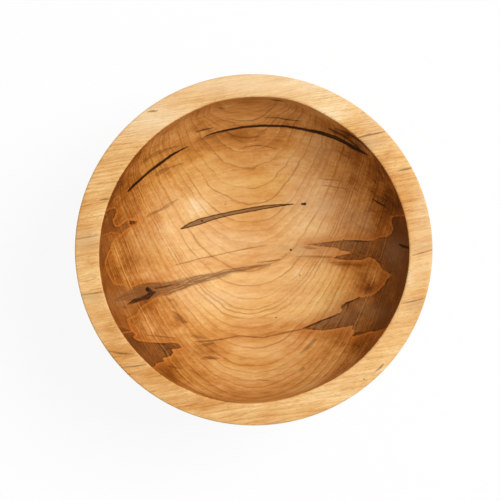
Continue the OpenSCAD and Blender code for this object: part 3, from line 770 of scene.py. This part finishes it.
# Distance to a closed outline, negative inside
def offOutline(pixels, outline):
    closed = np.array([*outline, outline[0]], float)
    x, y = pixels.T
    inside = np.zeros(len(pixels), bool)
    for a, b in zip(closed[:-1], closed[1:]):
        if a[1] != b[1]:
            reach = a[0] + (y - a[1]) * (b[0] - a[0]) / (b[1] - a[1])
            inside ^= ((a[1] > y) != (b[1] > y)) & (x < reach)
    distance = offLine(pixels, closed)[0]
    return np.where(inside, -distance, distance)


def readPoints(mesh, what):
    values = np.empty(len(mesh.vertices) * 3)
    mesh.vertices.foreach_get(what, values)
    return values.reshape(-1, 3)


def storeOnPoints(mesh, name, values):
    kind, key = ("FLOAT", "value") if values.ndim == 1 else ("FLOAT_VECTOR", "vector")
    layer = mesh.attributes.new(name, kind, "POINT")
    layer.data.foreach_set(key, values.astype(np.float32).ravel())


# How steeply the growth rings cut the surface, from 0 where it runs along a ring to 1 where it runs across
def ringSlope(mesh, co, wood):
    turn = math.radians(wood["grainTurn"])
    sideways = np.array((-math.sin(turn), math.cos(turn), 0))
    across = co @ sideways / mm - wood["pithAcross"]
    up = co[:, 2] / mm - wood["pithHeight"]
    outward = across[:, None] * sideways + up[:, None] * np.array((0, 0, 1))
    outward /= np.linalg.norm(outward, axis=1)[:, None]
    facing = (outward * readPoints(mesh, "normal")).sum(axis=1)
    return np.sqrt(np.clip(1 - facing ** 2, 0.03, 1))


def softPlaces(pixels, places):
    total = np.zeros(len(pixels))
    for x, y, wide, high, amount in places:
        total += amount * np.exp(-(((pixels - (x, y)) / (wide, high)) ** 2).sum(axis=1))
    return total


def storeMarks(mesh, pixels, hollow, rim):
    far, reach, taper = 40, 3, 8   # in pixels: off any mark, a line's surroundings, how fast its end thins
    for key, stain in stains.items():
        nearest = np.min([offOutline(pixels, outline) for outline in stain["outlines"]], axis=0)
        storeOnPoints(mesh, key, np.where(hollow, nearest, far))
    for key, streak in streaks.items():
        nearest = np.full(len(pixels), float(far))
        values = np.zeros((len(pixels), 3))
        for line in streak["lines"]:
            line = np.array(line, float)
            last = len(line) - 1
            distance, side, along = offLine(pixels, line[:, :2])
            half = np.interp(along, range(last + 1), line[:, 2])
            beyond = np.maximum(-along, along - last)
            half = np.where(beyond > 0, half - taper * beyond, half)
            nearer = distance - half < nearest
            nearest[nearer] = (distance - half)[nearer]
            values[nearer] = np.stack((side, half, along), axis=1)[nearer]
        values[nearest > reach, 1] = -far
        values[~(rim if "rim" in streak else hollow), 1] = -far
        storeOnPoints(mesh, key, values)
    holes = np.full(len(pixels), float(far))
    for x, y, radius in pinholes:
        holes = np.minimum(holes, np.hypot(*(pixels - (x, y)).T) - radius)
    storeOnPoints(mesh, "pinholes", np.where(hollow, holes, far))


def smooth(share):
    return share ** 2 * (3 - 2 * share)


def makeBowl():
    b = bowl
    low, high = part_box("bowl")
    foot, rimRadius = low.z, high.x
    inside = rimRadius - b["wall"]
    floor = foot + b["floor"]
    wallX, wallZ = inside - b["sweep"], rimTop - b["land"]
    drop = wallZ - floor
    floorRadius = (wallX ** 2 + drop ** 2 - b["sweep"] ** 2) / (2 * (drop - b["sweep"]))
    floorZ = floor + floorRadius
    joined = math.degrees(math.atan2(wallX, floorZ - wallZ))
    outside = floorRadius + b["wall"]
    footTop = b["footRadius"] - b["footDrawnIn"]
    footAngle = math.degrees(math.asin(footTop / outside))
    rimEdge, lipEdge, footEdge = b["rimEdge"], b["lipEdge"], b["footEdge"]

    cut = Section(0, foot + b["recess"])
    cut.line(b["recessRadius"], foot + b["recess"], 8)
    cut.line(b["recessRadius"], foot, 2)
    cut.line(b["footRadius"] - footEdge, foot, 4)
    cut.arc(b["footRadius"] - footEdge, foot + footEdge, -90, 4)
    cut.line(footTop, floorZ - outside * math.cos(math.radians(footAngle)), 6)
    cut.arc(0, floorZ, footAngle - joined, 30)
    cut.arc(wallX, wallZ, joined - 90, 16)
    cut.line(rimRadius, rimTop - rimEdge)
    cut.arc(rimRadius - rimEdge, rimTop - rimEdge, -90, 5)
    cut.line(inside + lipEdge, rimTop, 8)
    cut.arc(inside + lipEdge, rimTop - lipEdge, -90, 8)
    cut.arc(wallX, wallZ, 90 - joined, 20)
    cut.arc(0, floorZ, joined, 92)
    wood = mapleWood("bowlMaple", maple, growthRings, True)
    mesh = addPiece("bowl_wood", cut.turned(b["steps"]), "bowl", wood, "bowl_maple", "bowl")

    co = readPoints(mesh, "co")
    radius = np.hypot(co[:, 0], co[:, 1])
    offFloor = np.hypot(radius, co[:, 2] - floorZ) - floorRadius
    hollow = (offFloor < 1 * mm) & (radius < inside + 0.3 * rimEdge)
    rim = ~hollow & (co[:, 2] > rimTop - 0.5 * mm)
    above = hollow | rim
    # the mouth's wander dies away down the wall and across the rim
    angle = np.degrees(np.arctan2(co[:, 1], co[:, 0]))
    turns, wider = zip(*mouthWander)
    blurred = [np.interp(angle + near, turns, wider, period=360) for near in b["wanderBlur"]]
    inward = np.clip((rimRadius - rimEdge - radius) / (b["wall"] - rimEdge - lipEdge), 0, 1)
    upward = np.clip(1 - (rimTop - co[:, 2]) / b["wanderDepth"], 0, 1)
    share = above * smooth(inward) * smooth(upward)
    co[:, :2] *= (1 + share * np.mean(blurred, axis=0) * mm / np.maximum(radius, 1 * mm))[:, None]
    pixels = toPixels(co)
    storeMarks(mesh, pixels, hollow, rim)
    # painted shade: the wall's tone is deepened more and more from partway out to the mouth
    wall = np.clip((radius / inside - b["wallShadeFrom"]) / (1 - b["wallShadeFrom"]), 0, 1) * hollow
    endGrain = wall * (co[:, 0] / np.maximum(radius, 1e-6)) ** 2
    # the soft places shift the tone: the wood's own tone in places, painted shade on the wall below the rim,
    # and a painted glare and sheen in the hollow
    shade = b["shade"]["hollow"] * hollow + b["shade"]["rim"] * rim + softPlaces(pixels, toneAndPaintedLightPlaces) * above
    shade += b["shade"]["wall"] * wall + b["shade"]["endGrain"] * endGrain
    # in the hollow these creamy places are partly painted sheen and highlight
    paleAndSheenShare = np.where(hollow, softPlaces(pixels, paleAndSheenHollow), softPlaces(pixels, creamyRim))
    for name, values in {
        "shade": shade,
        "endGrain": endGrain * np.where(co[:, 0] > 0, b["rightEndGrain"], 1),
        "ringSlope": ringSlope(mesh, co, maple),
        "greyed": softPlaces(pixels, greyer) * above,
        "gilded": (softPlaces(pixels, golden) - paleAndSheenShare) * above,
    }.items():
        storeOnPoints(mesh, name, values)
    # the wood has dried to a slight oval, more so towards the rim
    dried = b["driedOval"] * np.clip((co[:, 2] - foot) / (rimTop - foot), 0, 1)
    co[:, 0] *= 1 + dried
    co[:, 1] *= 1 - dried
    mesh.vertices.foreach_set("co", co.ravel())
    mesh.update()
    print("bowl turned, faces:", len(mesh.polygons), "hollow points:", int(hollow.sum()))


makeBowl()


# Metal, plastic and rubber

metals = {
    "aluminium": {"tone": colour(214, 216, 219), "rough": (0.24, 0.40), "marks": 3.2, "depth": 0.000012},
    "groundSteel": {"tone": colour(176, 178, 182), "rough": (0.20, 0.34), "marks": 5.5, "depth": 0.000006},
    "bearingSteel": {"tone": colour(204, 206, 210), "rough": (0.07, 0.16), "marks": 7, "depth": 0.000002},
    "screwSteel": {"tone": colour(196, 194, 186), "rough": (0.24, 0.38), "marks": 0, "depth": 0.000008},
}

plastics = {
    "nylon": {
        "tones": (colour(226, 220, 200), colour(238, 234, 218)), "cloud": ((0.3,), 2), "dust": None,
        "grain": ((5,), 2), "rough": (0.36, 0.5), "depth": 0.00001,
    },
    "rubber": {
        "tones": (colour(30, 30, 31), colour(58, 56, 53)), "cloud": ((0.25,), 3), "dust": (0.45, 0.75),
        "grain": ((3.5,), 3, 0.7), "rough": (0.62, 0.86), "depth": 0.00003,
    },
}


# Turned and ground metal carries fine rings round the spin axis; plated metal only clouds and scratches
def metal(name):
    m = metals[name]
    mat, tree, shader = newMaterial(name)
    place = millimetres(tree)
    cloud = noise(place, (0.22,), 3, 0.6)
    height = grit = noise(place, (4,))
    if m["marks"]:
        x, y, z = split(place)
        rings = stripes(calc("SQRT", x * x + y * y) + z, m["marks"], 3, 0.7)
        height = addTo(rings, grit, 0.2)
    worn = addTo(cloud * 0.5, height, 0.5)
    dim = tuple(c * 0.82 for c in m["tone"])
    surface = mix(ramp(worn, 0.3, 0.7), dim, m["tone"])
    paint(shader, surface, ramp(worn, 0.3, 0.7, *m["rough"]), height, m["depth"])
    shader.inputs["Metallic"].default_value = 1
    return mat


def plastic(name):
    p = plastics[name]
    mat, tree, shader = newMaterial(name)
    place = millimetres(tree)
    cloud = noise(place, *p["cloud"])
    grain = noise(place, *p["grain"])
    if p["dust"]:
        cloud = fade(cloud, *p["dust"])
    paint(shader, mix(cloud, *p["tones"]), ramp(grain, 0.2, 0.8, *p["rough"]), grain, p["depth"])
    return mat


finishes = {
    "aluminium": metal("aluminium"),
    "ground_steel": metal("groundSteel"),
    "bearing_steel": metal("bearingSteel"),
    "screw_steel": metal("screwSteel"),
    "nylon": plastic("nylon"),
    "rubber": plastic("rubber"),
}


# Puts the finish of its slot on every node that keeps its own shape
def dressNodes():
    for part in frame["record"]["subparts"]:
        finish = finishes.get(part["material_slot"])
        if finish:
            for materialSlot in frame["nodes"][part["node"]].material_slots:
                materialSlot.material = finish


dressNodes()
print("metal, nylon and rubber finished")


# The base, turned from darker maple: a bead, a square step, a cove and a second bead

base = {
    "lowerBead": 5 * mm,
    "upperBead": 3.5 * mm,
    "step": 1.6 * mm,
    "ledge": 4 * mm,
    "topRadius": 39 * mm,
    "coveSag": 5 * mm,
    "chuckRadius": 26 * mm,
    "chuckUndercut": 0.8 * mm,
    "chuckDepth": 2.5 * mm,
    "sleeveRadius": 14 * mm,
    "flangeThick": 3 * mm,
    "fit": 0.1 * mm,
    "footRadius": 7.1 * mm,
    "footRecess": 1 * mm,
    "softEdge": 0.3 * mm,
    "softenFrom": 40,      # degrees between two faces
    "steps": 224,
}

baseWood = {
    "grainTurn": 8,
    "pithAcross": 14,
    "pithHeight": -96,
    "pithSlope": 0.03,
    "bendFrom": 900,
    "bendTo": 1000,
    "bend": 0,
    "rimTurn": 0,
    "rimFrom": 900,
    "rimTo": 1000,
    "rimLine": 1,
    "fibreTurn": 2,
    "tones": (
        (0.00, colour(226, 182, 122)), (0.28, colour(206, 150, 88)), (0.52, colour(182, 118, 62)),
        (0.76, colour(140, 82, 38)), (1.00, colour(84, 46, 20)),
    ),
    "line": colour(98, 54, 24),
}

baseRings = [(80 + 2.9 * i + 0.9 * math.sin(2.3 * i), 0.45 + 0.3 * math.sin(4.1 * i)) for i in range(28)]

# Takes the cutter's shape out of a bmesh
def cutAway(bm, cutterBm):
    blank, cutter = placed("blank", toMesh("blank", bm)), placed("cutter", toMesh("cutter", cutterBm))
    cut = blank.modifiers.new("cut", "BOOLEAN")
    cut.object = cutter
    cut.solver = "EXACT"
    bpy.context.view_layer.update()
    left = bmesh.new()
    left.from_mesh(blank.evaluated_get(bpy.context.evaluated_depsgraph_get()).to_mesh())
    for piece in (blank, cutter):
        mesh = piece.data
        bpy.data.objects.remove(piece)
        bpy.data.meshes.remove(mesh)
    return left


def footPlaces():
    corners = [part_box("rubber_foot_%d" % i) for i in (1, 2, 3, 4)]
    return [(low + high) / 2 for low, high in corners]


def makeBase():
    b = base
    low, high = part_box("base")
    sleeve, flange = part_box("bearing_housing")
    boreRadius = b["sleeveRadius"] + b["fit"]
    flangeRadius = flange.x + b["fit"]
    flangeSeat = flange.z - b["flangeThick"]
    beadX = high.x - b["lowerBead"]
    stepX, stepZ = beadX - b["ledge"], low.z + 2 * b["lowerBead"] + b["step"]
    neckX, neckZ = b["topRadius"] - b["upperBead"], high.z - 2 * b["upperBead"]
    chord = math.hypot(stepX - neckX, neckZ - stepZ)
    coveRadius = ((chord / 2) ** 2 + b["coveSag"] ** 2) / (2 * b["coveSag"])
    out = coveRadius - b["coveSag"]
    coveX = (stepX + neckX) / 2 + out * (neckZ - stepZ) / chord
    coveZ = (stepZ + neckZ) / 2 + out * (stepX - neckX) / chord
    coveTurn = math.degrees(2 * math.asin(chord / 2 / coveRadius))

    cut = Section(0, low.z + b["chuckDepth"])
    cut.line(b["chuckRadius"], low.z + b["chuckDepth"], 6)
    cut.line(b["chuckRadius"] - b["chuckUndercut"], low.z, 2)
    cut.line(beadX, low.z, 6)
    cut.arc(beadX, low.z + b["lowerBead"], -180, 24)
    cut.line(stepX, low.z + 2 * b["lowerBead"], 2)
    cut.line(stepX, stepZ)
    cut.arc(coveX, coveZ, coveTurn, 28)
    cut.arc(neckX, high.z - b["upperBead"], -180, 20)
    cut.line(flangeRadius, high.z, 4)
    cut.line(flangeRadius, flangeSeat)
    cut.line(boreRadius, flangeSeat, 2)
    cut.line(boreRadius, sleeve.z, 4)
    cut.line(0, sleeve.z, 3)
    bm = cut.turned(b["steps"])
    softenFrom = math.radians(b["softenFrom"])
    sharp = [e for e in bm.edges if e.is_manifold and e.calc_face_angle() > softenFrom]
    bmesh.ops.bevel(
        bm, geom=sharp, offset=b["softEdge"], offset_type="OFFSET", affect="EDGES", segments=2, profile=0.5,
        material=-1, clamp_overlap=True,
    )
    recesses = bmesh.new()
    for place in footPlaces():
        bmesh.ops.create_cone(
            recesses, cap_ends=True, segments=64, radius1=b["footRadius"], radius2=b["footRadius"],
            depth=2 * b["footRecess"], matrix=Matrix.Translation((place.x, place.y, low.z)),
        )
    bm = cutAway(bm, recesses)
    print("base turned, faces:", len(bm.faces))
    wood = mapleWood("baseMaple", baseWood, baseRings, False)
    addPiece("base_wood", bm, "base", wood, "base_maple", "base")


makeBase()


# Rubber feet

foot = {
    "lowRadius": 6 * mm,
    "topRadius": 7 * mm,
    "straight": 1 * mm,      # the part let into the base
    "edge": 0.6 * mm,
    "flare": 76,             # degrees that the lower edge is rounded through
    "seatRadius": 3.3 * mm,
    "seatEdge": 0.2 * mm,
    "seat": 2.6 * mm,
    "holeRadius": 1.55 * mm,
    "steps": 72,
}


def makeFeet():
    f = foot
    for number, place in enumerate(footPlaces(), 1):
        node = "rubber_foot_%d" % number
        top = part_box(node)[1].z
        cut = Section(f["seatRadius"] + f["seatEdge"], 0)
        cut.line(f["lowRadius"] - f["edge"], 0, 2)
        cut.arc(f["lowRadius"] - f["edge"], f["edge"], -f["flare"], 5)
        cut.line(f["topRadius"], top - f["straight"], 3)
        cut.line(f["topRadius"], top)
        cut.line(f["holeRadius"], top, 2)
        cut.line(f["holeRadius"], f["seat"])
        cut.line(f["seatRadius"], f["seat"])
        cut.line(f["seatRadius"], f["seatEdge"])
        cut.bm.edges.new((cut.last, cut.first))
        bm = cut.turned(f["steps"])
        bmesh.ops.translate(bm, verts=bm.verts[:], vec=(place.x, place.y, 0))
        addPiece("foot_pad_%d" % number, bm, "base", finishes["rubber"], "rubber", node)
    print("feet made")


makeFeet()


# Wood screws, with a helical thread, a tapered point and a cross recess

screws = {
    "hub_screws": {
        "body": "bowl", "faceUp": False, "pan": False, "circle": 20 * mm, "first": 45, "count": 4,
        "headRadius": 4 * mm, "headHeight": 2.2 * mm, "shank": 2 * mm, "pitch": 1.6 * mm,
    },
    "housing_screws": {
        "body": "base", "faceUp": True, "pan": False, "circle": 19.5 * mm, "first": 90, "count": 3,
        "headRadius": 3.325 * mm, "headHeight": 1.75 * mm, "shank": 1.75 * mm, "pitch": 1.5 * mm,
    },
    "foot_screws": {
        "body": "base", "faceUp": False, "pan": True, "circle": 46 * mm, "first": 45, "count": 4,
        "headRadius": 3 * mm, "headHeight": 1.8 * mm, "shank": 1.5 * mm, "pitch": 1.3 * mm,
    },
}

screwHead = {
    "edge": 0.18 * mm,
    "crown": 2.4,                  # radius of a pan head's top, in head radii
    "recess": (1.1, 0.24, 1.4),    # a wing of the cross: length and width in head radii, height in heads
    "taper": (0.55, 0.7, 1),       # of the wing towards its bottom
    "steps": 40,
}

thread = {
    "core": 0.68,          # share of the shank's radius left under the thread
    "plain": 1 * mm,       # unthreaded neck
    "shoulder": 0.3 * mm,  # from the neck down to the core
    "point": 3.6 * mm,
    "root": 0.15 * mm,     # how deep the thread starts inside the core
    "turnSteps": 20,
}


# One screw standing on its point, its head's face at height 0
def blankScrew(s, length):
    radius, height, edge = s["headRadius"], s["headHeight"], screwHead["edge"]
    cut = Section(0, 0)
    if s["pan"]:
        cut.arc(0, -screwHead["crown"] * radius, 18, 6)
        cut.line(radius - 1.2 * edge, -0.45 * height, 3)
        cut.line(radius, -0.62 * height)
        cut.line(radius, -height + edge)
        cut.line(radius - edge, -height)
        cut.line(s["shank"], -height)
    else:
        cut.line(radius - edge, 0, 4)
        cut.arc(radius - edge, -edge, 120, 4)
        cut.line(s["shank"], -height, 3)
    core = thread["core"] * s["shank"]
    neck = -height - thread["plain"]
    cut.line(s["shank"], neck)
    cut.line(core, neck - thread["shoulder"])
    cut.line(core, thread["point"] - length, 3)
    cut.line(0, -length, 5)
    bm = cut.turned(screwHead["steps"])
    wide, thick, deep = screwHead["recess"]
    for turn in (0, 90):
        wing = bmesh.new()
        bmesh.ops.create_cube(wing, size=1)
        bmesh.ops.scale(wing, verts=wing.verts[:], vec=(wide * radius, thick * radius, deep * height))
        low = [v for v in wing.verts if v.co.z < 0]
        bmesh.ops.scale(wing, verts=low, vec=screwHead["taper"])
        bmesh.ops.rotate(wing, verts=wing.verts[:], matrix=Matrix.Rotation(math.radians(turn), 3, "Z"))
        bm = cutAway(bm, wing)
    return bm


def addThread(bm, s, length):
    top = -s["headHeight"] - 0.6 * thread["plain"]
    bottom = 0.4 * mm - length
    pitch, root = s["pitch"], thread["core"] * s["shank"] - thread["root"]
    steps = int((top - bottom) / pitch * thread["turnSteps"])
    spun = bmesh.new()
    corners = [(root, 0), (root, 0.5), (s["shank"], 0.31), (s["shank"], 0.25)]
    section = spun.faces.new([spun.verts.new((x, 0, top - down * pitch)) for x, down in corners])
    bmesh.ops.spin(
        spun, geom=[section, *section.edges, *section.verts], cent=(0, 0, 0), axis=(0, 0, 1),
        dvec=(0, 0, -pitch / thread["turnSteps"]), angle=math.tau * steps / thread["turnSteps"], steps=steps,
        use_merge=False,
    )
    for v in spun.verts:
        radius = math.hypot(v.co.x, v.co.y)
        started = min(1, max(0, (top - v.co.z) / pitch))
        point = min(1, max(0.05, (v.co.z + length) / thread["point"]))
        wanted = (root + (radius - root) * started) * point
        v.co.x *= wanted / radius
        v.co.y *= wanted / radius
    bmesh.ops.recalc_face_normals(spun, faces=spun.faces[:])
    mesh = toMesh("thread", spun)
    bm.from_mesh(mesh)
    bpy.data.meshes.remove(mesh)


def makeScrews(node):
    s = screws[node]
    low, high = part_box(node)
    length = high.z - low.z
    one = blankScrew(s, length)
    addThread(one, s, length)
    mesh = toMesh("screw", one)
    bm = bmesh.new()
    for i in range(s["count"]):
        angle = math.radians(s["first"] + 360 / s["count"] * i)
        before = set(bm.verts)
        bm.from_mesh(mesh)
        place = Matrix.Translation((s["circle"] * math.cos(angle), s["circle"] * math.sin(angle), low.z))
        if s["faceUp"]:
            place = Matrix.Translation((0, 0, length)) @ place
        else:
            place = place @ Matrix.Rotation(math.pi, 4, "X")
        driven = Matrix.Rotation(angle + 0.7 + 1.9 * i, 4, "Z")   # each recess came to rest at its own angle
        bmesh.ops.transform(bm, matrix=place @ driven, verts=[v for v in bm.verts if v not in before])
    bpy.data.meshes.remove(mesh)
    addPiece(node + "_threaded", bm, s["body"], finishes["screw_steel"], "screw_steel", node)


for name in screws:
    makeScrews(name)
print("screws made")


# Floor and light

stage = {
    "floorWidth": 6,
    "floorTone": 0.9,
    "floorGlow": 0.9,      # how far the camera sees it as plain white
    "seenBy": ("Camera", "Glossy", "Transmission"),   # rays that see plain white
    "worldLight": 0.425,
    "keyPower": 29,
    "keySize": 0.9,
    "keyDistance": 2,
    "keyAzimuth": 24,      # degrees from X
    "keyElevation": 62,
}


def seenDirectly(tree):
    rays = tree.nodes.new("ShaderNodeLightPath").outputs
    camera, glossy, through = (Signal(rays["Is %s Ray" % kind]) for kind in stage["seenBy"])
    return calc("MAXIMUM", calc("MAXIMUM", camera, glossy), through)


def layFloor():
    bm = bmesh.new()
    bmesh.ops.create_grid(bm, x_segments=1, y_segments=1, size=stage["floorWidth"] / 2)
    floor = placed("floor", toMesh("floor", bm))
    mat, tree, both = newMaterial("whiteFloor", "MixShader")
    flat = tree.nodes.new("ShaderNodeBsdfDiffuse")
    glow = tree.nodes.new("ShaderNodeEmission")
    plug((stage["floorTone"],) * 3, flat.inputs["Color"])
    seen = seenDirectly(tree) * stage["floorGlow"]
    for value, socket in zip((seen, Signal(flat.outputs[0]), Signal(glow.outputs[0])), both.inputs):
        plug(value, socket)
    floor.data.materials.append(mat)


def lightScene():
    scene = bpy.context.scene
    scene.view_settings.view_transform = "Standard"
    world = bpy.data.worlds.new("studio")
    scene.world = world
    world.use_nodes = True
    tree = world.node_tree
    background = tree.nodes["Background"]
    background.inputs["Color"].default_value = (1, 1, 1, 1)
    plug(ramp(seenDirectly(tree), 0, 1, stage["worldLight"], 1), background.inputs["Strength"])

    lamp = bpy.data.lights.new("key", "AREA")
    lamp.shape = "DISK"
    lamp.size = stage["keySize"]
    lamp.energy = stage["keyPower"]
    turn = Matrix.Rotation(math.radians(stage["keyAzimuth"]), 4, "Z")
    tilt = Matrix.Rotation(math.radians(90 - stage["keyElevation"]), 4, "Y")
    placed("key", lamp).matrix_world = turn @ tilt @ Matrix.Translation((0, 0, stage["keyDistance"]))


layFloor()
lightScene()
print("floor and light placed")
